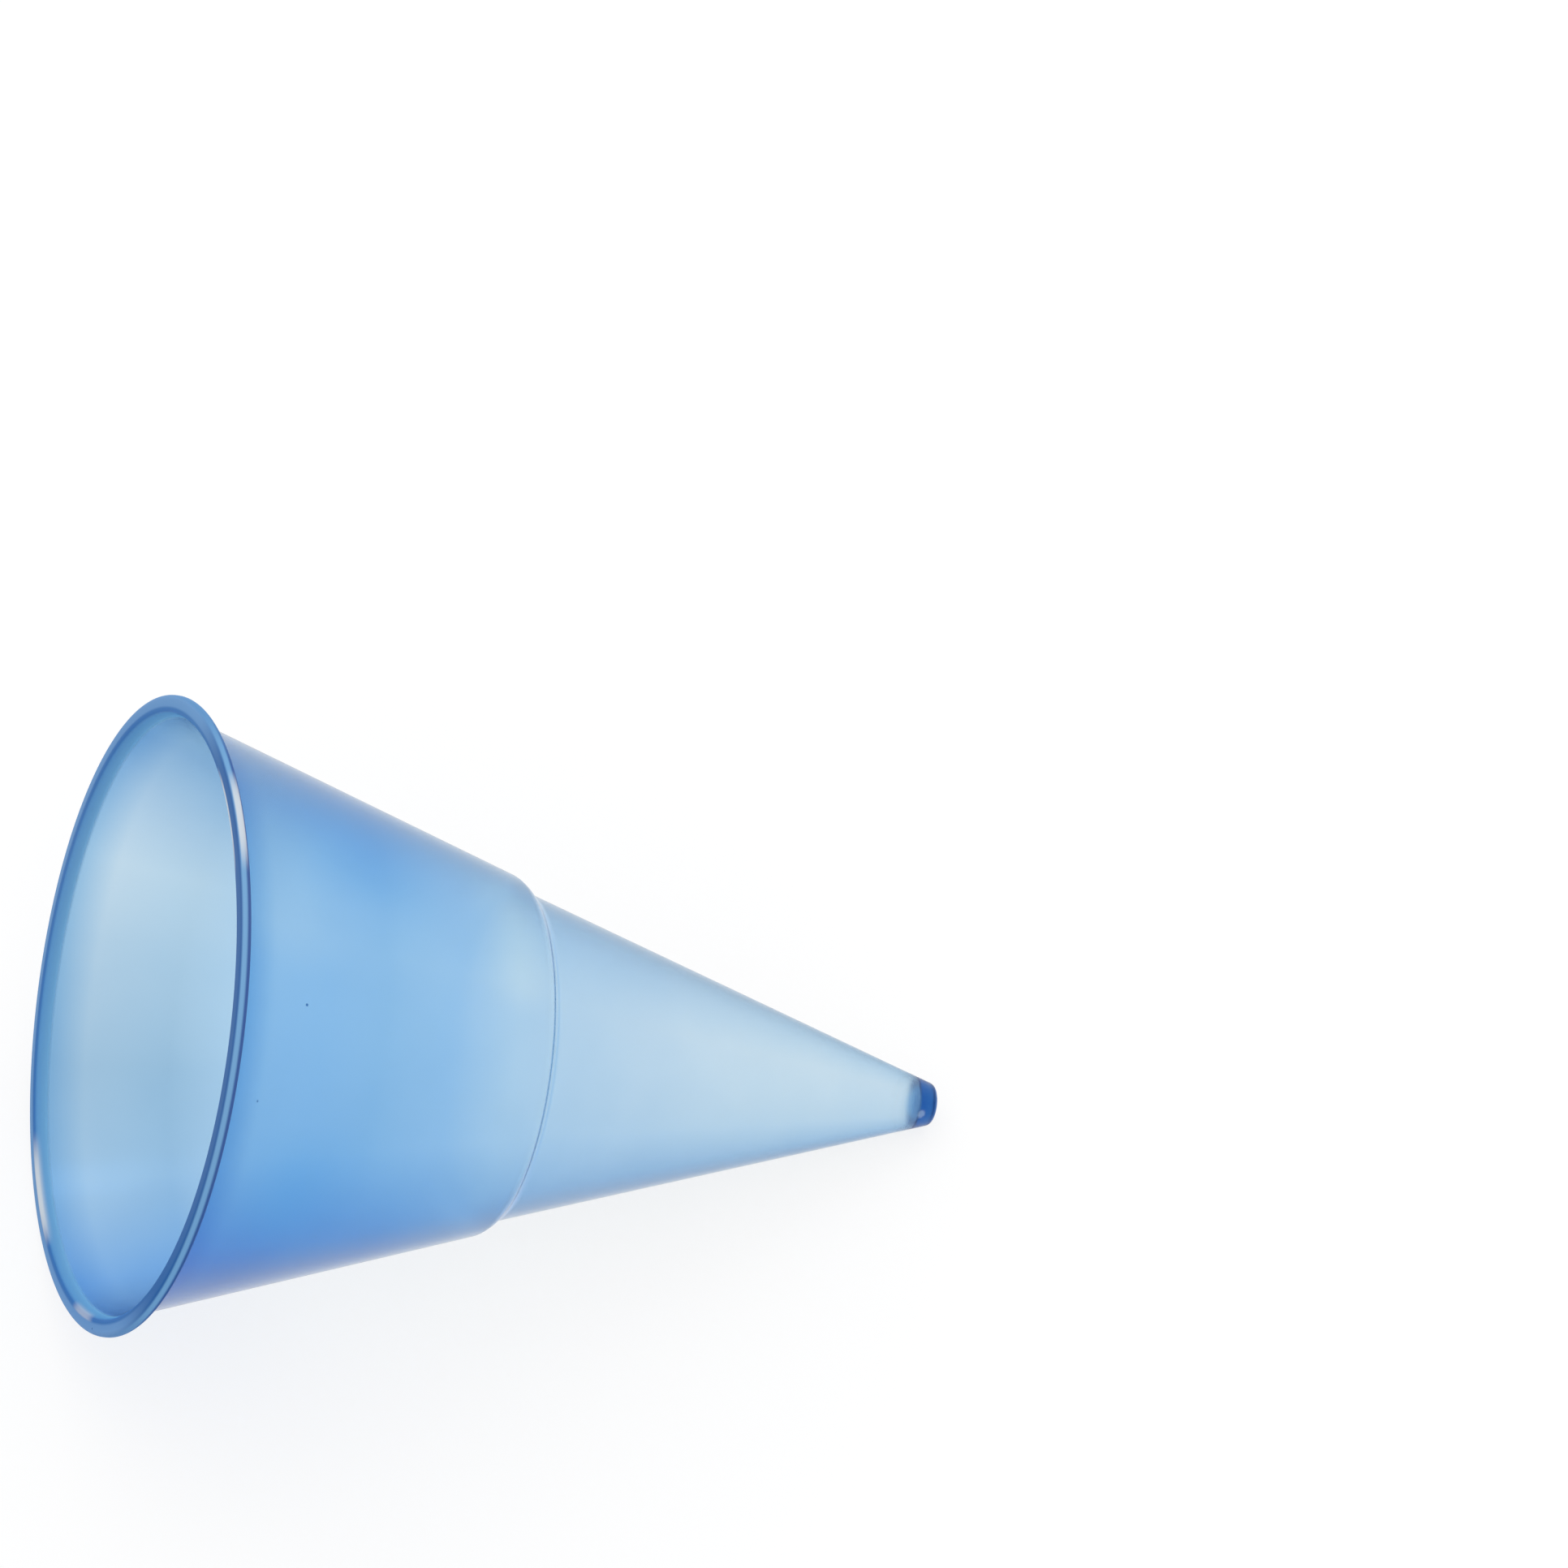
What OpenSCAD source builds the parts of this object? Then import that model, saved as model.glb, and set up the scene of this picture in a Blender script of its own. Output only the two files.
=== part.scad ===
// Plastic cone cup for a cone holder or a water cooler.
// One thin-walled moulded piece: a wide upper cone with a flat, solid lip, a rounded shoulder,
// a narrower lower cone, and a solid rounded tip. It can't stand on its tip, so it lies on its side
// here, on the lip's edge and the tip's edge, with its mouth towards -X and its tip towards +X.

/* [Overall] */
// Height along the cup's axis, from the end of the tip to the top of the lip
cup_height = 96.4; // [80:0.2:120]
// Diameter over the lip
rim_diameter = 73; // [66:0.5:84]

/* [Lip] */
// How far the lip stands out from the upper wall, measured at the top
lip_reach = 1.65; // [1:0.05:3]
// Thickness of the lip along the axis
lip_height = 1; // [0.8:0.05:2]
// Radius of the lip's edges
lip_edge_radius = 0.3; // [0.1:0.05:0.35]

/* [Upper cone] */
// Depth of the upper cone's straight wall below the top of the lip
upper_depth = 42.1; // [34:0.1:50]
// Outer diameter of the upper cone where its straight wall ends
upper_end_diameter = 41.7; // [36:0.1:48]
// Wall thickness of the upper cone and the shoulder
upper_wall = 0.34; // [0.3:0.01:0.8]

/* [Shoulder] */
// Outer radius of the shoulder's rounding
shoulder_radius = 3; // [2:0.1:4]
// How far the wall steps in from the upper cone to the lower cone, on the radius
shoulder_step = 1.75; // [1:0.05:2.5]

/* [Lower cone] */
// Outer diameter that the lower cone would have at the end of the tip without its rounding
tip_diameter = 4.6; // [3.4:0.1:7]
// Wall thickness of the lower cone
lower_wall = 0.28; // [0.25:0.01:0.6]

/* [Tip] */
// Thickness of the solid plastic in the tip, along the axis
tip_solid = 2.2; // [2:0.1:6]
// Radius of the tip's outer edge
tip_edge_radius = 0.8; // [0.3:0.05:1]
// Radius of the edge between the hollow's floor and its wall
hollow_edge_radius = 1; // [0.3:0.05:1.2]

/* [Hidden] */
turn_steps = 112;
edge_steps = 60;

// The profile lies in the plane of radius and height, with the end of the tip at height 0.
rim_radius = rim_diameter / 2;
mouth_radius = rim_radius - lip_reach;
tip_radius = tip_diameter / 2;
lip_bottom = cup_height - lip_height;

// Upper cone: a straight wall from the top of the lip to the shoulder
upper_end = [upper_end_diameter / 2, cup_height - upper_depth];
upper_angle = atan((mouth_radius - upper_end[0]) / upper_depth);
upper_normal = [cos(upper_angle), -sin(upper_angle)];

// Shoulder: a circle that the upper wall runs into, cut off by the lower wall
shoulder_center = upper_end - shoulder_radius * upper_normal;
corner_radius = upper_end[0] - shoulder_step;
corner_drop = sqrt(pow(shoulder_radius, 2) - pow(corner_radius - shoulder_center[0], 2));
corner_height = shoulder_center[1] - corner_drop;

// Lower cone: a straight wall from the shoulder's corner to the tip
lower_angle = atan((corner_radius - tip_radius) / corner_height);
lower_normal = [cos(lower_angle), -sin(lower_angle)];

// Radius of each cone at a height, where inset is the depth under its outer surface
function upper_wall_radius(height, inset) =
    upper_end[0] + (height - upper_end[1]) * tan(upper_angle) - inset / cos(upper_angle);
function lower_wall_radius(height, inset) =
    tip_radius + height * tan(lower_angle) - inset / cos(lower_angle);

// Centre of the circle that rounds the edge between the lower cone and a flat end at end_height
function lower_edge_center(end_height, edge_radius, inset) = [
    lower_wall_radius(end_height + edge_radius, inset + edge_radius),
    end_height + edge_radius
];

// Centres of the circles that round the lip's three edges
lip_top_center = [rim_radius - lip_edge_radius, cup_height - lip_edge_radius];
lip_bottom_center = [rim_radius - lip_edge_radius, lip_bottom + lip_edge_radius];
mouth_center = [
    upper_wall_radius(cup_height - lip_edge_radius, upper_wall - lip_edge_radius),
    cup_height - lip_edge_radius
];

// Lying pose: one flat surface touches the lip's lower edge and the edge of the tip
tip_center = lower_edge_center(0, tip_edge_radius, 0);
rest_span = lip_bottom_center - tip_center;
lie_angle = atan(rest_span[0] / rest_span[1])
    - asin((tip_edge_radius - lip_edge_radius) / norm(rest_span));
lift = lip_bottom_center * [cos(lie_angle), -sin(lie_angle)] + lip_edge_radius;
mouth_end = -lip_top_center * [sin(lie_angle), cos(lie_angle)] - lip_edge_radius;
tip_end = tip_center * [sin(lie_angle), -cos(lie_angle)] + tip_edge_radius;

// A disc of the profile, which rounds an edge of the polygon that it is added to
module disc(center, radius) {
    translate(center) circle(r = radius, $fn = edge_steps);
}

// The filled shape of both cones, from bottom to top. The insets are the depths of its upper and lower
// walls under the outer surface, and edge_radius rounds its lower end.
module cones(bottom, top, upper_inset, lower_inset, edge_radius) {
    edge_center = lower_edge_center(bottom, edge_radius, lower_inset);
    polygon([
        [0, bottom],
        [edge_center[0], bottom],
        edge_center,
        edge_center + edge_radius * lower_normal,
        [lower_wall_radius(shoulder_center[1], lower_inset), shoulder_center[1]],
        shoulder_center,
        upper_end - upper_inset * upper_normal,
        [upper_wall_radius(top, upper_inset), top],
        [0, top]
    ]);
    disc(shoulder_center, shoulder_radius - upper_inset);
    disc(edge_center, edge_radius);
}

// A flat disc as thick as the lip, with its outer edges rounded
module lip() {
    polygon([
        [0, lip_bottom],
        [lip_bottom_center[0], lip_bottom],
        lip_bottom_center,
        [rim_radius, lip_bottom_center[1]],
        [rim_radius, lip_top_center[1]],
        lip_top_center,
        [lip_top_center[0], cup_height],
        [0, cup_height]
    ]);
    disc(lip_bottom_center, lip_edge_radius);
    disc(lip_top_center, lip_edge_radius);
}

// What is taken off the lip's inner corner to round the edge of the mouth
module mouth_corner() {
    difference() {
        polygon([
            mouth_center,
            [mouth_center[0], cup_height + lip_height],
            mouth_center - 2 * lip_edge_radius * upper_normal + [0, lip_height],
            mouth_center - 2 * lip_edge_radius * upper_normal
        ]);
        disc(mouth_center, lip_edge_radius);
    }
}

module profile() {
    difference() {
        union() {
            cones(0, lip_bottom + lip_height / 2, 0, 0, tip_edge_radius);
            lip();
        }
        cones(tip_solid, cup_height + lip_height, upper_wall, lower_wall, hollow_edge_radius);
        mouth_corner();
    }
}

// The cup is turned about its axis by half a step, so that its lip lies on a facet and not on an edge.
module cup() {
    color([0.47, 0.68, 0.86])
    translate([-(mouth_end + tip_end) / 2, 0, lift])
    rotate([0, lie_angle - 90, 0])
    rotate([0, 0, 180 / turn_steps])
    rotate_extrude($fn = turn_steps) profile();
}

cup();
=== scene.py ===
"""Plastic cone cup, lying on its side on a white floor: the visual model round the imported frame."""

import math

import bpy
from mathutils import Matrix, Vector


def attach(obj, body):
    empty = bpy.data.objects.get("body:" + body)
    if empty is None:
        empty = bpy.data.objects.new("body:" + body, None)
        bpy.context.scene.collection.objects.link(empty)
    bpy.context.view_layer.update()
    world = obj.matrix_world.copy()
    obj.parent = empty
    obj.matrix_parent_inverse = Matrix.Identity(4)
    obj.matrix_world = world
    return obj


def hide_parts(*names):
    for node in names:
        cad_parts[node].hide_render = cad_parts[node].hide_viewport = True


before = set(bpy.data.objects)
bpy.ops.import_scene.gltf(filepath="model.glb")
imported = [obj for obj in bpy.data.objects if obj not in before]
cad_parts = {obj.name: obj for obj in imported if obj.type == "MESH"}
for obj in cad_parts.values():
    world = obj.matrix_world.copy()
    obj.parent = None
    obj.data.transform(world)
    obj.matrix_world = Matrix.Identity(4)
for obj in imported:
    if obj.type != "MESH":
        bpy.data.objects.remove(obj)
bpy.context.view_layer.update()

MM = 0.001

# Sizes of the cup in millimetres, the same as in the part's source
CUP_HEIGHT = 96.4
RIM_DIAMETER = 73.0
LIP_REACH = 1.65
LIP_HEIGHT = 1.0
LIP_EDGE_RADIUS = 0.3
UPPER_DEPTH = 42.1
UPPER_END_DIAMETER = 41.7
UPPER_WALL = 0.34
SHOULDER_RADIUS = 3.0
SHOULDER_STEP = 1.75
TIP_DIAMETER = 4.6
LOWER_WALL = 0.28
TIP_SOLID = 2.2
TIP_EDGE_RADIUS = 0.8

# Softer edges than the solid's, which show only in the light
BEAD_HEIGHT = 1.3
LIP_ROUNDING = 0.55
MOUTH_ROUNDING = 0.6
CORNER_ROUNDING = 0.9
FLOOR_ROUNDING = 0.6

# How finely the outline and its turn are divided, with margins in millimetres beside sharp lines
TURN_STEPS = 240
UPPER_CONE_STEPS = 22
LOWER_CONE_STEPS = 26
SHOULDER_STEPS = 18
INNER_SHOULDER_STEPS = 16
CORNER_STEPS = 8
EDGE_STEPS = 12
LIP_STEPS = 10
END_STEPS = 3
LIP_LINE_STEPS = 2
CONE_MARGIN = 0.15
LIP_MARGIN = 0.1
SHARP_ANGLE = math.radians(35)

# The search for the hollow's corner: how far below the outer corner it starts, and how often it halves
SEARCH_DEPTH = 1.0
SEARCH_HALVINGS = 60

# The plastic. Its volume takes out red first, so thicker parts are a deeper blue.
IOR = 1.49
SPECULAR_LEVEL = 0.5
SPECULAR_TINT = (0.2, 0.5, 1.0)
ABSORPTION_COLOR = (0.0, 0.485, 0.794)
ABSORPTION_DENSITY = 800.0
WALL_ROUGHNESS = 0.19
BEAD_ROUGHNESS = 0.08
SHOULDER_ROUGHNESS = 0.11
TIP_ROUGHNESS = 0.31
BEAD_OPACITY = 0.85

# Bands in millimetres above the tip, each from where it starts to where it is complete
BEAD_BAND = (94.6, 95.2)
SHOULDER_BAND_BELOW = (51.9, 52.5)
SHOULDER_BAND_ABOVE = (54.2, 53.6)
TIP_BAND = (4.4, 2.8)

# What one wall lets through on top of its thickness, by millimetres above the tip
HEIGHT_TINT = (
    (0.0, (0.90, 0.90, 0.92)),
    (2.0, (1.0, 1.0, 1.0)),
    (20.0, (0.99, 0.995, 0.995)),
    (40.0, (0.93, 0.96, 0.99)),
    (52.0, (0.86, 0.93, 0.99)),
    # A painted shade line along the shoulder's crease
    (52.35, (0.68, 0.83, 0.96)),
    (52.7, (0.89, 0.95, 0.99)),
    (53.8, (0.89, 0.95, 0.99)),
    (54.1, (0.86, 0.93, 0.99)),
    (58.0, (0.86, 0.94, 1.0)),
    (66.0, (0.70, 0.85, 0.99)),
    (76.0, (0.62, 0.81, 0.97)),
    (84.0, (0.68, 0.85, 0.99)),
    (91.0, (0.76, 0.89, 1.0)),
    (94.5, (0.46, 0.69, 0.92)),
    (96.4, (0.46, 0.66, 0.88)),
)

# What one wall lets through by degrees round the cup, as painted shade and light: darker or paler by how the
# light falls on each side. They count from the uppermost side, and are below 0 towards the camera.
PAINTED_SIDE_SHADE = (
    (-180, (0.63, 0.74, 0.83)),
    (-150, (0.38, 0.60, 0.90)),
    (-130, (0.26, 0.47, 0.79)),
    (-90, (0.34, 0.63, 0.92)),
    (-62, (0.80, 0.89, 0.96)),
    (-15, (1.0, 1.0, 1.0)),
    (15, (0.80, 0.91, 1.0)),
    (40, (0.60, 0.88, 1.0)),
    (75, (0.50, 0.65, 0.80)),
    (112, (0.93, 0.91, 0.88)),
    (155, (0.62, 0.71, 0.77)),
    (180, (0.63, 0.74, 0.83)),
)

# How much of the painted side shade shows, by millimetres above the tip: on the front and on the back of the
# cup
FRONT_SHADE_SHARE = ((0, 0.50), (50, 0.62), (70, 1.0), (CUP_HEIGHT, 1.0))
BACK_SHADE_SHARE = ((0, 0.0), (72, 0.0), (82, 1.0), (CUP_HEIGHT, 1.0))

# The front: degrees round to its middle, then the cosines of the turn at its edge and where it is complete
WALL_FRONT = (-30.0, -0.1, 0.3)
BEAD_FRONT = (-40.0, 0.2, 0.6)

# Patches of painted shade and painted light, deeper or paler by how the light falls: height above the tip,
# half their length, degrees round, half their turn and tint
SHADE_AND_LIGHT_PATCHES = (
    (78.0, 13.0, 26.0, 34.0, (0.80, 0.93, 1.0)),
    (84.0, 11.0, -84.0, 30.0, (0.74, 0.90, 0.97)),
    (67.0, 10.0, -30.0, 40.0, (0.95, 0.98, 1.0)),
    (88.0, 12.0, -4.0, 22.0, (1.20, 1.08, 1.0)),
    (58.0, 7.0, 2.0, 26.0, (1.16, 1.08, 1.0)),
)

# Faint clouds in the plastic, with the noise's values between which they clear
CLOUDS = {"Scale": 38.0, "Detail": 3.0, "Roughness": 0.6}
CLOUD_EDGES = (0.35, 0.65)
CLOUD_TINT = (0.94, 0.965, 0.985)

# The bead's deeper blue on its front with painted shade and a painted highlight: dark lines low on it and at
# its top, a lighter band between, by shares of a span of its height
BEAD_FRONT_SPAN = (95.0, CUP_HEIGHT)
BEAD_FRONT_BLUE_AND_SHADING = (
    (0.0, (0.01, 0.07, 0.36)),
    (0.38, (0.01, 0.07, 0.36)),
    (0.56, (0.22, 0.50, 0.86)),
    (0.82, (0.22, 0.50, 0.86)),
    (0.94, (0.005, 0.10, 0.40)),
    (1.0, (0.01, 0.12, 0.42)),
)

# The bead's deeper blue on its back with painted shade and light: a dark ring near the hollow's edge between
# lighter bands, by shares of a span from the hollow out to the rim
BEAD_BACK_SPAN = (34.0, RIM_DIAMETER / 2)
BEAD_BACK_BLUE_AND_SHADING = (
    (0.0, (0.27, 0.63, 0.96)),
    (0.14, (0.17, 0.48, 0.88)),
    (0.24, (0.03, 0.19, 0.58)),
    (0.38, (0.03, 0.18, 0.54)),
    (0.50, (0.16, 0.37, 0.73)),
    (0.88, (0.19, 0.40, 0.76)),
    (1.0, (0.12, 0.33, 0.68)),
)

# Painted highlights (glints) on the bead: degrees round, half their length in degrees, the edge they lie on
# and their strength
GLINTS = (
    (6.0, 14.0, "inner", 0.9),
    (4.0, 12.0, "outer", 0.9),
    (-178.0, 14.0, "inner", 0.95),
    (-137.0, 7.0, "inner", 0.5),
)
GLINT_COLOR = (0.95, 0.99, 1.0)

# Those two edges in millimetres from the axis, each side from where it starts to where it is complete
INNER_EDGE_INSIDE = (34.2, 34.5)
INNER_EDGE_OUTSIDE = (35.25, 34.95)
OUTER_EDGE_INSIDE = (36.35, 36.48)

# Specks: height above the tip, degrees round, distance from the axis and size
SPECKS = (
    (86.6, -30.0, 31.6, 0.20),
    (91.4, -50.0, 33.2, 0.13),
    (77.9, -88.0, 28.7, 0.13),
    (96.4, -130.0, 35.8, 0.12),
)
SPECK_COLOR = (0.02, 0.10, 0.30)

# The shares of a spot's size at which its mask starts and is complete
SPOT_EDGES = (1.3, 0.5)

# A painted highlight (glint) on the tip, a spot like the specks
TIP_GLINT = (2.1, -60.0, 2.95, 0.5)
TIP_GLINT_COLOR = (0.60, 0.80, 0.98)
TIP_GLINT_OPACITY = 0.35

# The floor in metres: half its width, and how far it lies under the cup
FLOOR_HALF = 6.0
FLOOR_DROP = 0.0002

# The floor's paint and glow: for other light, seen straight by the camera, and seen by way of the cup
FLOOR_PAINT = 0.8
FLOOR_PAINT_SEEN = 0.25
FLOOR_PAINT_BY_CUP = 0.05
FLOOR_GLOW_SEEN = 0.79
FLOOR_GLOW_BY_CUP = 0.96

# The world's strength as a light, and as seen by the camera or by way of the cup
WORLD_LIGHT = 0.8
WORLD_SEEN = 1.0

# The lamp, a long soft strip above and behind the cup, in metres and watts
LAMP_DIRECTION = (0.03, 0.564, 0.823)
LAMP_DISTANCE = 1.2
LAMP_SIZE = (2.0, 0.3)
LAMP_POWER = 2.6

# The photograph's frame and the camera that fits it, with distances in metres
IMAGE_SIZE = 1932
PIXELS_PER_MM = 10.886
CAMERA_DISTANCE = 3.0
ELEVATION = math.radians(55.45)
HEADING = math.radians(6.1)
PIVOT = Vector((0.0, 0.0, 30.0)) * MM
AIM_RIGHT = 34.05 * MM
AIM_UP = 25.3 * MM
SENSOR = 36.0
CLIP_START = 0.1
CLIP_END = 50.0

LIGHT_BOUNCES = 20


# The cup's shape


class Section:
    """The section's angles and centres, worked out as the part's source does, in radius and height."""

    def __init__(self):
        self.rim_radius = RIM_DIAMETER / 2
        self.tip_radius = TIP_DIAMETER / 2
        self.lip_bottom = CUP_HEIGHT - LIP_HEIGHT
        self.upper_end = Vector((UPPER_END_DIAMETER / 2, CUP_HEIGHT - UPPER_DEPTH))
        mouth_radius = self.rim_radius - LIP_REACH
        self.upper_angle = math.atan((mouth_radius - self.upper_end.x) / UPPER_DEPTH)
        upper_normal = Vector((math.cos(self.upper_angle), -math.sin(self.upper_angle)))
        self.shoulder = self.upper_end - SHOULDER_RADIUS * upper_normal
        corner_radius = self.upper_end.x - SHOULDER_STEP
        corner_drop = math.sqrt(SHOULDER_RADIUS**2 - (corner_radius - self.shoulder.x) ** 2)
        corner_height = self.shoulder.y - corner_drop
        self.corner = Vector((corner_radius, corner_height))
        self.lower_angle = math.atan((corner_radius - self.tip_radius) / corner_height)

    def upper_wall(self, height, inset):
        """Radius of the upper cone at a height, or of a line that far inside its outer face."""
        along = self.upper_end.x + (height - self.upper_end.y) * math.tan(self.upper_angle)
        return along - inset / math.cos(self.upper_angle)

    def lower_wall(self, height, inset):
        """The same for the lower cone."""
        along = self.tip_radius + height * math.tan(self.lower_angle)
        return along - inset / math.cos(self.lower_angle)

    def lower_edge(self, end_height, edge_radius, inset):
        """Centre of the rounded edge between a flat end and the lower cone."""
        height = end_height + edge_radius
        return Vector((self.lower_wall(height, inset + edge_radius), height))

    def inner_corner(self, inner_radius):
        """Where the hollow's shoulder circle meets the hollow's lower wall."""
        low, high = self.corner.y - SEARCH_DEPTH, self.shoulder.y
        for _ in range(SEARCH_HALVINGS):
            middle = (low + high) / 2
            point = Vector((self.lower_wall(middle, LOWER_WALL), middle))
            if (point - self.shoulder).length > inner_radius:
                low = middle
            else:
                high = middle
        return Vector((self.lower_wall(low, LOWER_WALL), low))

    def shoulder_degrees(self, point):
        """Direction of a point from the shoulder's centre."""
        return math.degrees(math.atan2(point.y - self.shoulder.y, point.x - self.shoulder.x))


def arc(center, radius, start, end, steps):
    """Points on a circle from one angle to another, in degrees, ends included."""
    points = []
    for i in range(steps + 1):
        angle = math.radians(start + (end - start) * i / steps)
        points.append(Vector((center.x + radius * math.cos(angle), center.y + radius * math.sin(angle))))
    return points


def line(start, end, steps, margin=0.0):
    """Points between two ends, which are left out, with one more near each end if there is a margin."""
    length = (end - start).length
    shares = [i / steps for i in range(1, steps)]
    if margin:
        shares = [margin / length] + shares + [1 - margin / length]
    return [start.lerp(end, share) for share in shares]


def rounded_corner(curve, corner, straight_end):
    """A curve, then a rounded corner in place of a sharp one, then a straight line up to its end."""
    kept = [point for point in curve if (point - corner).length > CORNER_ROUNDING]
    start = kept[-1]
    end = corner + (straight_end - corner).normalized() * CORNER_ROUNDING
    bend = []
    for i in range(1, CORNER_STEPS + 1):
        share = i / CORNER_STEPS
        bend.append(start.lerp(corner, share).lerp(corner.lerp(end, share), share))
    return kept + bend + line(end, straight_end, LOWER_CONE_STEPS)


def outside_points(section, lip_root):
    """The outside from the middle of the tip up to the lip, without the lip's first point."""
    lower_degrees = math.degrees(section.lower_angle)
    upper_degrees = math.degrees(section.upper_angle)
    tip_middle = Vector((0.0, 0.0))
    tip_center = section.lower_edge(0, TIP_EDGE_RADIUS, 0)
    tip_arc = arc(tip_center, TIP_EDGE_RADIUS, -90, -lower_degrees, EDGE_STEPS)
    corner_degrees = section.shoulder_degrees(section.corner)
    shoulder_arc = arc(section.shoulder, SHOULDER_RADIUS, corner_degrees, -upper_degrees, SHOULDER_STEPS)
    points = [tip_middle]
    points += line(tip_middle, tip_arc[0], END_STEPS)
    points += tip_arc
    points += rounded_corner(shoulder_arc[:0:-1], section.corner, tip_arc[-1])[::-1]
    points += line(shoulder_arc[-1], lip_root, UPPER_CONE_STEPS, CONE_MARGIN)
    return points


def lip_points(section):
    """The bead from its root on the upper cone, round its edge and over its top to the hollow."""
    bead_bottom = CUP_HEIGHT - BEAD_HEIGHT
    lip_root = Vector((section.upper_wall(bead_bottom, 0), bead_bottom))
    lip_x = section.rim_radius - LIP_ROUNDING
    low_center = Vector((lip_x, bead_bottom + LIP_ROUNDING))
    low_arc = arc(low_center, LIP_ROUNDING, -90, 0, LIP_STEPS)
    top_center = Vector((lip_x, CUP_HEIGHT - LIP_ROUNDING))
    top_arc = arc(top_center, LIP_ROUNDING, 0, 90, LIP_STEPS)
    mouth_y = CUP_HEIGHT - MOUTH_ROUNDING
    mouth_center = Vector((section.upper_wall(mouth_y, UPPER_WALL - MOUTH_ROUNDING), mouth_y))
    mouth_end = 180 - math.degrees(section.upper_angle)
    mouth_arc = arc(mouth_center, MOUTH_ROUNDING, 90, mouth_end, EDGE_STEPS)
    points = [lip_root]
    points += line(lip_root, low_arc[0], LIP_LINE_STEPS, LIP_MARGIN)
    points += low_arc
    points += line(low_arc[-1], top_arc[0], LIP_LINE_STEPS)
    points += top_arc
    points += line(top_arc[-1], mouth_arc[0], END_STEPS)
    points += mouth_arc
    return points


def hollow_points(section, mouth_edge):
    """The hollow from below the mouth's edge down to the middle of its floor."""
    lower_degrees = math.degrees(section.lower_angle)
    upper_degrees = math.degrees(section.upper_angle)
    radius = SHOULDER_RADIUS - UPPER_WALL
    corner = section.inner_corner(radius)
    corner_degrees = section.shoulder_degrees(corner)
    shoulder_arc = arc(section.shoulder, radius, -upper_degrees, corner_degrees, INNER_SHOULDER_STEPS)
    floor_center = section.lower_edge(TIP_SOLID, FLOOR_ROUNDING, LOWER_WALL)
    floor_arc = arc(floor_center, FLOOR_ROUNDING, -lower_degrees, -90, EDGE_STEPS)
    floor_middle = Vector((0.0, TIP_SOLID))
    points = line(mouth_edge, shoulder_arc[0], UPPER_CONE_STEPS, CONE_MARGIN)
    points += rounded_corner(shoulder_arc[:-1], corner, floor_arc[0])
    points += floor_arc
    points += line(floor_arc[-1], floor_middle, END_STEPS)
    points += [floor_middle]
    return points


def cup_profile(section):
    """The wall's outline in radius and height: outside from the tip to the lip, then inside back down."""
    lip = lip_points(section)
    return outside_points(section, lip[0]) + lip + hollow_points(section, lip[-1])


def lying_matrix(section):
    """Brings the cup's own frame, with +Z along its axis to the mouth, into the row frame as it lies."""
    tip_center = section.lower_edge(0, TIP_EDGE_RADIUS, 0)
    lip_x = section.rim_radius - LIP_EDGE_RADIUS
    lip_low = Vector((lip_x, section.lip_bottom + LIP_EDGE_RADIUS))
    lip_top = Vector((lip_x, CUP_HEIGHT - LIP_EDGE_RADIUS))
    span = lip_low - tip_center
    angle = math.atan(span.x / span.y)
    angle -= math.asin((TIP_EDGE_RADIUS - LIP_EDGE_RADIUS) / span.length)
    cosine, sine = math.cos(angle), math.sin(angle)
    lift = lip_low.x * cosine - lip_low.y * sine + LIP_EDGE_RADIUS
    mouth_end = -lip_top.x * sine - lip_top.y * cosine - LIP_EDGE_RADIUS
    tip_end = tip_center.x * sine - tip_center.y * cosine + TIP_EDGE_RADIUS
    middle = (mouth_end + tip_end) / 2
    turn = Matrix(((sine, 0, -cosine), (0, 1, 0), (cosine, 0, sine))).to_4x4()
    return Matrix.Translation(Vector((-middle, 0, lift)) * MM) @ turn


def revolve(name, points, steps):
    """A closed surface of revolution about Z. The first and last points lie on the axis."""
    verts = [(0.0, 0.0, points[0].y * MM)]
    rings = points[1:-1]
    for point in rings:
        for i in range(steps):
            angle = 2 * math.pi * i / steps
            verts.append((point.x * MM * math.cos(angle), point.x * MM * math.sin(angle), point.y * MM))
    verts.append((0.0, 0.0, points[-1].y * MM))
    last = len(verts) - 1
    faces = [(0, 1 + (i + 1) % steps, 1 + i) for i in range(steps)]
    for ring in range(len(rings) - 1):
        low, high = 1 + ring * steps, 1 + (ring + 1) * steps
        for i in range(steps):
            j = (i + 1) % steps
            faces.append((low + i, low + j, high + j, high + i))
    top = 1 + (len(rings) - 1) * steps
    faces += [(last, top + i, top + (i + 1) % steps) for i in range(steps)]
    mesh = bpy.data.meshes.new(name)
    mesh.from_pydata(verts, [], faces)
    mesh.update()
    mesh.shade_smooth()
    mesh.set_sharp_from_angle(angle=SHARP_ANGLE)
    return mesh


# The plastic


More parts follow.
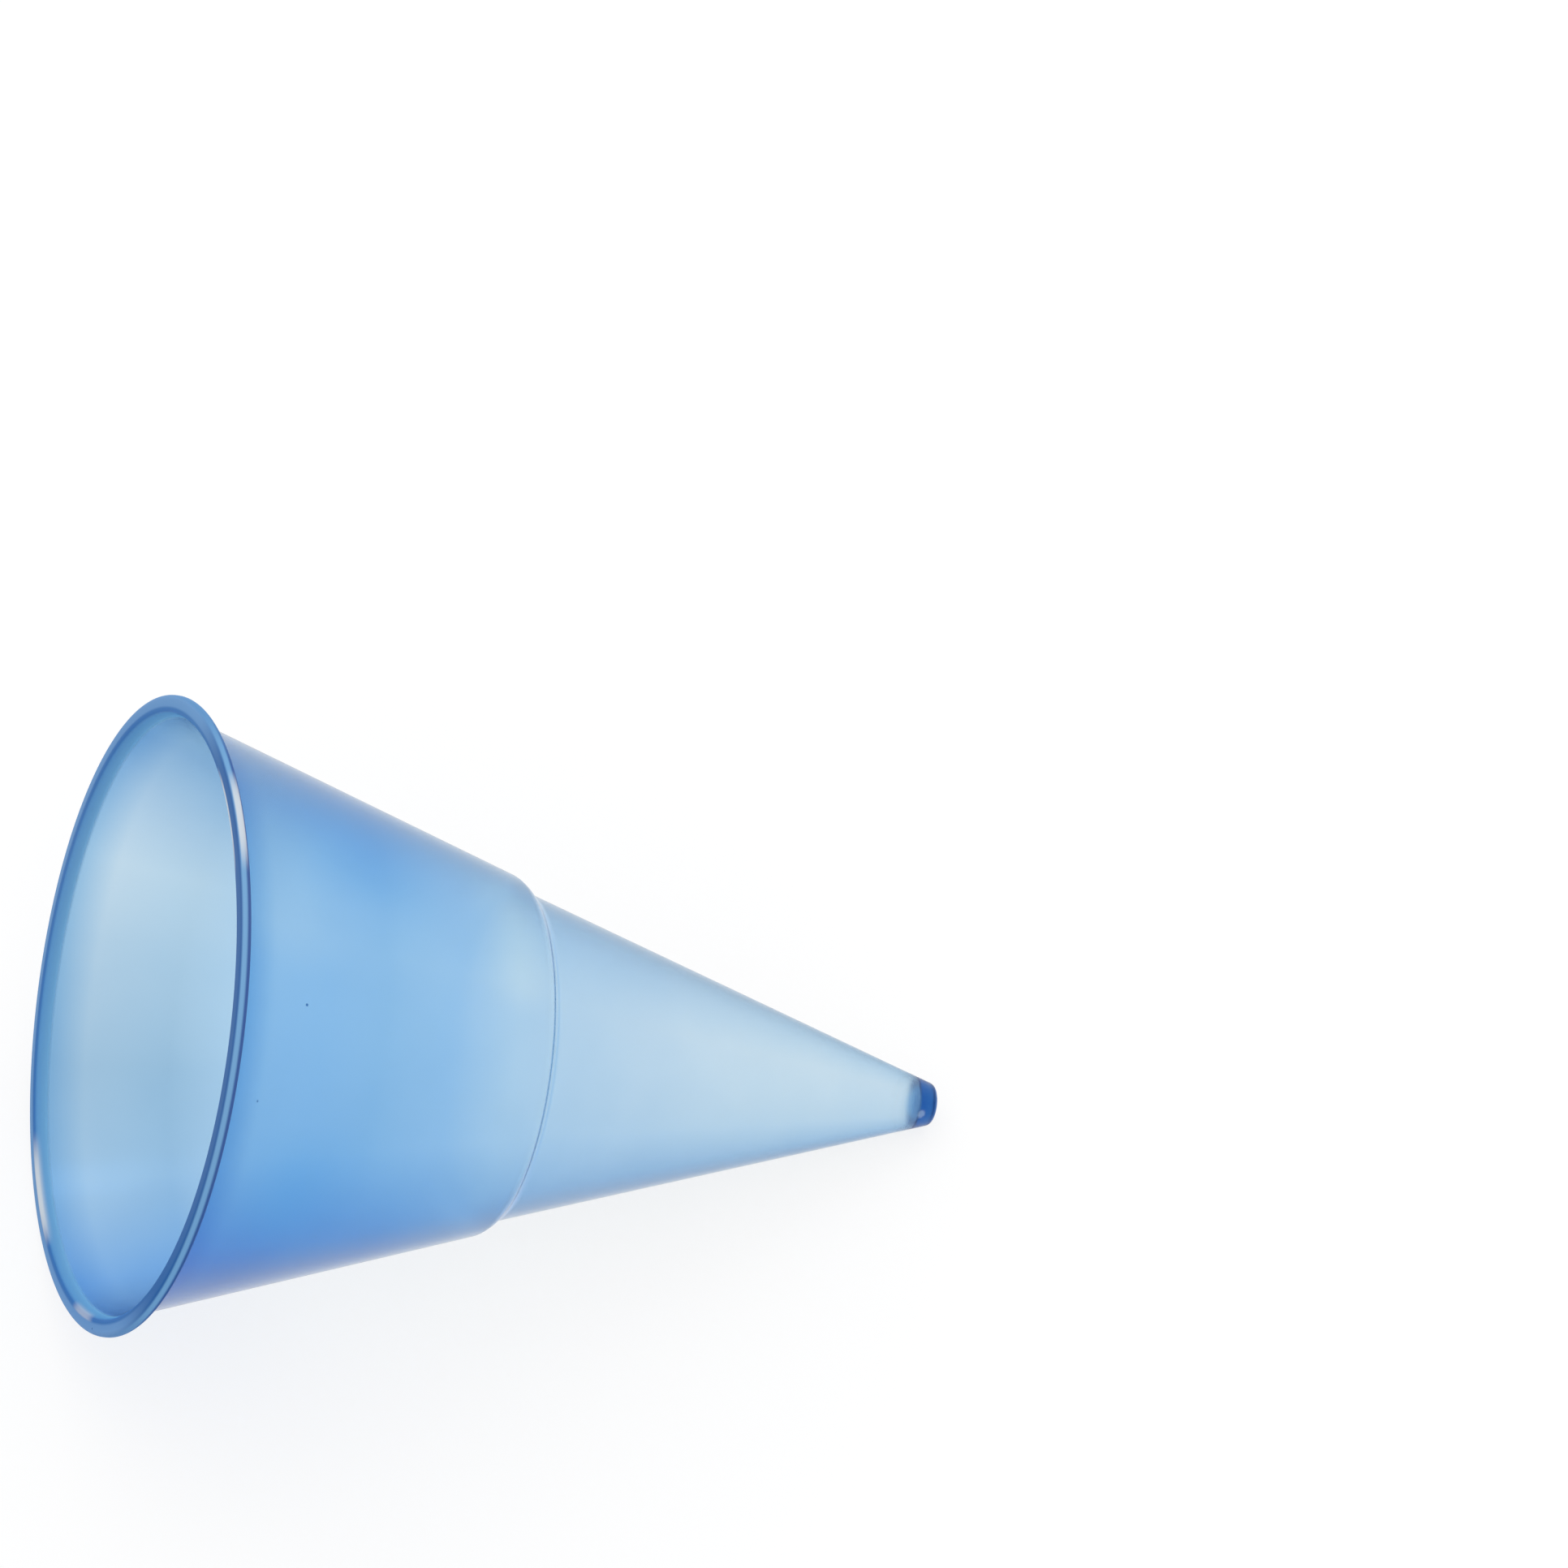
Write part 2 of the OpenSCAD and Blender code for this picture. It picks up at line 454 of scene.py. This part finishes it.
class Tree:
    """Short calls for building a node tree."""

    def __init__(self, owner):
        owner.use_nodes = True
        self.nodes = owner.node_tree.nodes
        self.links = owner.node_tree.links
        self.nodes.clear()

    def add(self, kind, values=(), **settings):
        """A node with its settings, and with a value or a link in each named input."""
        node = self.nodes.new(kind)
        for key, value in settings.items():
            setattr(node, key, value)
        for key, value in dict(values).items():
            if isinstance(value, bpy.types.NodeSocket):
                self.links.new(value, node.inputs[key])
            else:
                node.inputs[key].default_value = value
        return node

    def math(self, operation, first, second=0.0, third=0.0):
        values = {0: first, 1: second, 2: third}
        return self.add("ShaderNodeMath", values, operation=operation).outputs[0]

    def between(self, value, low, high):
        """0 at low, 1 at high, and a smooth step from one to the other."""
        node = self.add(
            "ShaderNodeMapRange",
            {"Value": value, "From Min": low, "From Max": high, "To Min": 0.0, "To Max": 1.0},
            interpolation_type="SMOOTHSTEP",
        )
        return node.outputs["Result"]

    def band(self, value, span):
        """The same between two lengths in millimetres."""
        return self.between(value, span[0] * MM, span[1] * MM)

    def toward(self, angle, degrees, low, high=1.0):
        """The same between two cosines of the turn away from one side of the cup."""
        turned = self.math("COSINE", self.math("SUBTRACT", angle, math.radians(degrees)))
        return self.between(turned, low, high)

    def ramp(self, value, stops):
        """Colours at places from 0 to 1, in linear light."""
        node = self.add("ShaderNodeValToRGB", {"Fac": value})
        ramp = node.color_ramp
        for element, (place, color) in zip(ramp.elements, (stops[0], stops[-1])):
            element.position = place
            element.color = (*color, 1)
        for place, color in stops[1:-1]:
            ramp.elements.new(place).color = (*color, 1)
        return node.outputs["Color"]

    def span_ramp(self, value, span, stops):
        """A ramp from one length in millimetres to another."""
        width = span[1] - span[0]
        return self.ramp(self.math("MULTIPLY_ADD", value, 1.0 / (width * MM), -span[0] / width), stops)

    def mix(self, share, first, second, blend="MIX"):
        node = self.add("ShaderNodeMix", data_type="RGBA", blend_type=blend)
        inputs = (node.inputs[0], node.inputs[6], node.inputs[7])
        for socket, value in zip(inputs, (share, first, second)):
            if isinstance(value, bpy.types.NodeSocket):
                self.links.new(value, socket)
            elif isinstance(value, tuple):
                socket.default_value = (*value, 1)
            else:
                socket.default_value = value
        return node.outputs[2]


class CupPlace:
    """Where a point lies in the cup's own frame: along its axis, round it and out from it."""

    def __init__(self, tree, lying):
        coordinates = tree.add("ShaderNodeTexCoord").outputs["Object"]
        values = {"Vector": coordinates, "Location": lying.translation, "Rotation": lying.to_euler()}
        self.vector = tree.add("ShaderNodeMapping", values, vector_type="TEXTURE").outputs[0]
        axes = tree.add("ShaderNodeSeparateXYZ", {"Vector": self.vector}).outputs
        self.along = axes["Z"]
        self.height_share = tree.math("DIVIDE", self.along, CUP_HEIGHT * MM)
        self.angle = tree.math("ARCTAN2", axes["Y"], axes["X"])
        x_squared = tree.math("POWER", axes["X"], 2.0)
        y_squared = tree.math("POWER", axes["Y"], 2.0)
        self.reach = tree.math("SQRT", tree.math("ADD", x_squared, y_squared))


def by_height(tree, place, stops):
    """A ramp whose places are given in millimetres above the tip."""
    return tree.ramp(place.height_share, [(height / CUP_HEIGHT, color) for height, color in stops])


def share_by_height(tree, place, stops):
    """The same for single values instead of colours."""
    return by_height(tree, place, [(height, (value, value, value)) for height, value in stops])


def wall_tint_and_painted_shade(tree, place):
    """What one wall lets through by height, with painted shade and light by side and in patches, and its
    clouds.
    """
    white = (1.0, 1.0, 1.0)
    tint = by_height(tree, place, HEIGHT_TINT)
    turn = tree.math("MULTIPLY_ADD", place.angle, 0.5 / math.pi, 0.5)
    side = tree.ramp(turn, [((degrees + 180) / 360, color) for degrees, color in PAINTED_SIDE_SHADE])
    front = tree.toward(place.angle, *WALL_FRONT)
    front_share = share_by_height(tree, place, FRONT_SHADE_SHARE)
    back_share = share_by_height(tree, place, BACK_SHADE_SHARE)
    painted_shade_share = tree.mix(front, back_share, front_share)
    # Painted shade and light round the sides, multiplied into the wall's tint
    tint = tree.mix(1.0, tint, tree.mix(painted_shade_share, white, side), "MULTIPLY")
    # Patches of painted shade and painted light
    for middle, reach, degrees, half_turn, color in SHADE_AND_LIGHT_PATCHES:
        off = tree.math("ABSOLUTE", tree.math("SUBTRACT", place.along, middle * MM))
        along = tree.band(off, (reach, 0.0))
        round_it = tree.toward(place.angle, degrees, math.cos(math.radians(half_turn)))
        mask = tree.math("MULTIPLY", along, round_it)
        tint = tree.mix(mask, tint, tree.mix(1.0, tint, color, "MULTIPLY"))
    noise = tree.add("ShaderNodeTexNoise", {"Vector": place.vector, **CLOUDS})
    clear = tree.between(noise.outputs[0], *CLOUD_EDGES)
    return tree.mix(1.0, tint, tree.mix(clear, CLOUD_TINT, white), "MULTIPLY")


def bead_blue_and_painted_shading(tree, place):
    """Colour of the thick bead at the mouth: its deeper blue with painted shade lines along its front,
    painted shade rings on its back, and painted highlights (glints).
    """
    front_blue_and_shading = tree.span_ramp(place.along, BEAD_FRONT_SPAN, BEAD_FRONT_BLUE_AND_SHADING)
    back_blue_and_shading = tree.span_ramp(place.reach, BEAD_BACK_SPAN, BEAD_BACK_BLUE_AND_SHADING)
    color = tree.mix(tree.toward(place.angle, *BEAD_FRONT), back_blue_and_shading, front_blue_and_shading)
    inner_inside = tree.band(place.reach, INNER_EDGE_INSIDE)
    inner_outside = tree.band(place.reach, INNER_EDGE_OUTSIDE)
    edges = {
        "inner": tree.math("MULTIPLY", inner_inside, inner_outside),
        "outer": tree.band(place.reach, OUTER_EDGE_INSIDE),
    }
    # Painted highlights along the bead's edges
    for degrees, half_turn, edge, strength in GLINTS:
        round_it = tree.toward(place.angle, degrees, math.cos(math.radians(half_turn)))
        mask = tree.math("MULTIPLY", round_it, edges[edge])
        color = tree.mix(tree.math("MULTIPLY", mask, strength), color, GLINT_COLOR)
    return color


def spots(tree, place, rows):
    """A mask of small round spots with soft edges."""
    mask = 0.0
    for height, degrees, radius, size in rows:
        angle = math.radians(degrees)
        center = (radius * MM * math.cos(angle), radius * MM * math.sin(angle), height * MM)
        distance = tree.add("ShaderNodeVectorMath", {0: place.vector, 1: center}, operation="DISTANCE")
        spot = tree.band(distance.outputs["Value"], [share * size for share in SPOT_EDGES])
        mask = tree.math("MAXIMUM", mask, spot)
    return mask


def blue_plastic(lying):
    """Clear blue plastic. Only the bead and the painted highlight on the tip are opaque in part, so that
    their painted shade and highlights show.
    """
    material = bpy.data.materials.new("blue_plastic")
    tree = Tree(material)
    place = CupPlace(tree, lying)
    on_bead = tree.band(place.along, BEAD_BAND)
    on_tip = tree.band(place.along, TIP_BAND)
    shoulder_below = tree.band(place.along, SHOULDER_BAND_BELOW)
    shoulder_above = tree.band(place.along, SHOULDER_BAND_ABOVE)
    on_shoulder = tree.math("MULTIPLY", shoulder_below, shoulder_above)
    tip_glint = spots(tree, place, (TIP_GLINT,))

    bead_opacity = tree.math("MULTIPLY", on_bead, BEAD_OPACITY)
    glint_opacity = tree.math("MULTIPLY", tip_glint, TIP_GLINT_OPACITY)
    opacity = tree.math("MAXIMUM", bead_opacity, glint_opacity)

    color = tree.mix(bead_opacity, wall_tint_and_painted_shade(tree, place), bead_blue_and_painted_shading(tree, place))
    color = tree.mix(spots(tree, place, SPECKS), color, SPECK_COLOR)
    # The painted highlight on the tip
    color = tree.mix(tip_glint, color, TIP_GLINT_COLOR)

    roughness = tree.math("MULTIPLY_ADD", on_bead, BEAD_ROUGHNESS - WALL_ROUGHNESS, WALL_ROUGHNESS)
    roughness = tree.math("MULTIPLY_ADD", on_shoulder, SHOULDER_ROUGHNESS - WALL_ROUGHNESS, roughness)
    roughness = tree.math("MULTIPLY_ADD", on_tip, TIP_ROUGHNESS - WALL_ROUGHNESS, roughness)

    bsdf = tree.add("ShaderNodeBsdfPrincipled", {
        "Base Color": color,
        "Roughness": roughness,
        "IOR": IOR,
        "Transmission Weight": tree.math("SUBTRACT", 1.0, opacity),
        "Specular IOR Level": tree.math("MULTIPLY_ADD", on_bead, -SPECULAR_LEVEL, SPECULAR_LEVEL),
        "Specular Tint": (*SPECULAR_TINT, 1),
    })
    volume = tree.add("ShaderNodeVolumeAbsorption", {
        "Color": (*ABSORPTION_COLOR, 1),
        "Density": ABSORPTION_DENSITY,
    })
    tree.add("ShaderNodeOutputMaterial", {
        "Surface": bsdf.outputs["BSDF"],
        "Volume": volume.outputs["Volume"],
    })
    return material


def make_cup():
    """The cup as one closed shell, in its place in the row frame."""
    section = Section()
    lying = lying_matrix(section)
    cup = bpy.data.objects.new("cup_shell", revolve("cup_shell", cup_profile(section), TURN_STEPS))
    bpy.context.scene.collection.objects.link(cup)
    cup.data.transform(lying)
    cup.data.materials.append(blue_plastic(lying))
    bpy.context.view_layer.update()
    return cup


# The stage


def ray_kinds(tree):
    """Masks of the rays that come straight from the camera, and of those that come by way of the cup."""
    path = tree.add("ShaderNodeLightPath").outputs
    return path["Is Camera Ray"], tree.math("MAXIMUM", path["Is Glossy Ray"], path["Is Transmission Ray"])


def floor():
    """Seen straight it is white with a faint shadow. Seen by way of the cup it is plain white."""
    half = FLOOR_HALF
    mesh = bpy.data.meshes.new("floor")
    corners = [(-half, -half, 0), (half, -half, 0), (half, half, 0), (-half, half, 0)]
    mesh.from_pydata(corners, [], [(0, 1, 2, 3)])
    plane = bpy.data.objects.new("floor", mesh)
    plane.location = (0, 0, -FLOOR_DROP)
    bpy.context.scene.collection.objects.link(plane)
    material = bpy.data.materials.new("floor_white")
    material.cycles.emission_sampling = "NONE"
    tree = Tree(material)
    seen, by_cup = ray_kinds(tree)
    paint = tree.mix(seen, (FLOOR_PAINT,) * 3, (FLOOR_PAINT_SEEN,) * 3)
    paint = tree.mix(by_cup, paint, (FLOOR_PAINT_BY_CUP,) * 3)
    glow = tree.math("MULTIPLY_ADD", by_cup, FLOOR_GLOW_BY_CUP, tree.math("MULTIPLY", seen, FLOOR_GLOW_SEEN))
    diffuse = tree.add("ShaderNodeBsdfDiffuse", {"Color": paint})
    emission = tree.add("ShaderNodeEmission", {"Strength": glow})
    both = tree.add("ShaderNodeAddShader", {0: diffuse.outputs[0], 1: emission.outputs[0]})
    tree.add("ShaderNodeOutputMaterial", {"Surface": both.outputs[0]})
    mesh.materials.append(material)
    return plane


def studio():
    """A plain white world, a little dimmer as a light than as a background."""
    world = bpy.data.worlds.new("studio")
    world.cycles.sampling_method = "NONE"
    tree = Tree(world)
    seen = tree.math("MAXIMUM", *ray_kinds(tree))
    strength = tree.math("MULTIPLY_ADD", seen, WORLD_SEEN - WORLD_LIGHT, WORLD_LIGHT)
    sky = tree.add("ShaderNodeBackground", {"Color": (1, 1, 1, 1), "Strength": strength})
    tree.add("ShaderNodeOutputWorld", {"Surface": sky.outputs[0]})
    return world


def strip_softbox():
    """The one lamp, aimed at the point that the camera's place is counted from."""
    light = bpy.data.lights.new("strip_softbox", "AREA")
    light.shape = "RECTANGLE"
    light.size, light.size_y = LAMP_SIZE
    light.energy = LAMP_POWER
    lamp = bpy.data.objects.new("strip_softbox", light)
    direction = Vector(LAMP_DIRECTION).normalized()
    lamp.location = PIVOT + direction * LAMP_DISTANCE
    lamp.rotation_euler = direction.to_track_quat("Z", "Y").to_euler()
    bpy.context.scene.collection.objects.link(lamp)


def photo_camera():
    """The camera that sees the cup as the photograph does."""
    look = Vector((
        math.cos(ELEVATION) * math.sin(HEADING),
        math.cos(ELEVATION) * math.cos(HEADING),
        -math.sin(ELEVATION),
    ))
    right = Vector((math.cos(HEADING), -math.sin(HEADING), 0.0))
    up = right.cross(look)
    settings = bpy.data.cameras.new("camera")
    settings.sensor_width = SENSOR
    settings.lens = PIXELS_PER_MM / MM * CAMERA_DISTANCE / IMAGE_SIZE * SENSOR
    settings.clip_start = CLIP_START
    settings.clip_end = CLIP_END
    camera = bpy.data.objects.new("camera", settings)
    camera.location = PIVOT + AIM_RIGHT * right + AIM_UP * up - CAMERA_DISTANCE * look
    camera.rotation_euler = look.to_track_quat("-Z", "Y").to_euler()
    bpy.context.scene.collection.objects.link(camera)
    return camera


cup = make_cup()
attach(cup, "root")
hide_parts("cup")
floor()

scene = bpy.context.scene
scene.world = studio()
strip_softbox()
scene.camera = photo_camera()
scene.view_settings.view_transform = "Standard"
scene.cycles.use_denoising = True
scene.cycles.max_bounces = LIGHT_BOUNCES
scene.cycles.glossy_bounces = LIGHT_BOUNCES
scene.cycles.transmission_bounces = LIGHT_BOUNCES
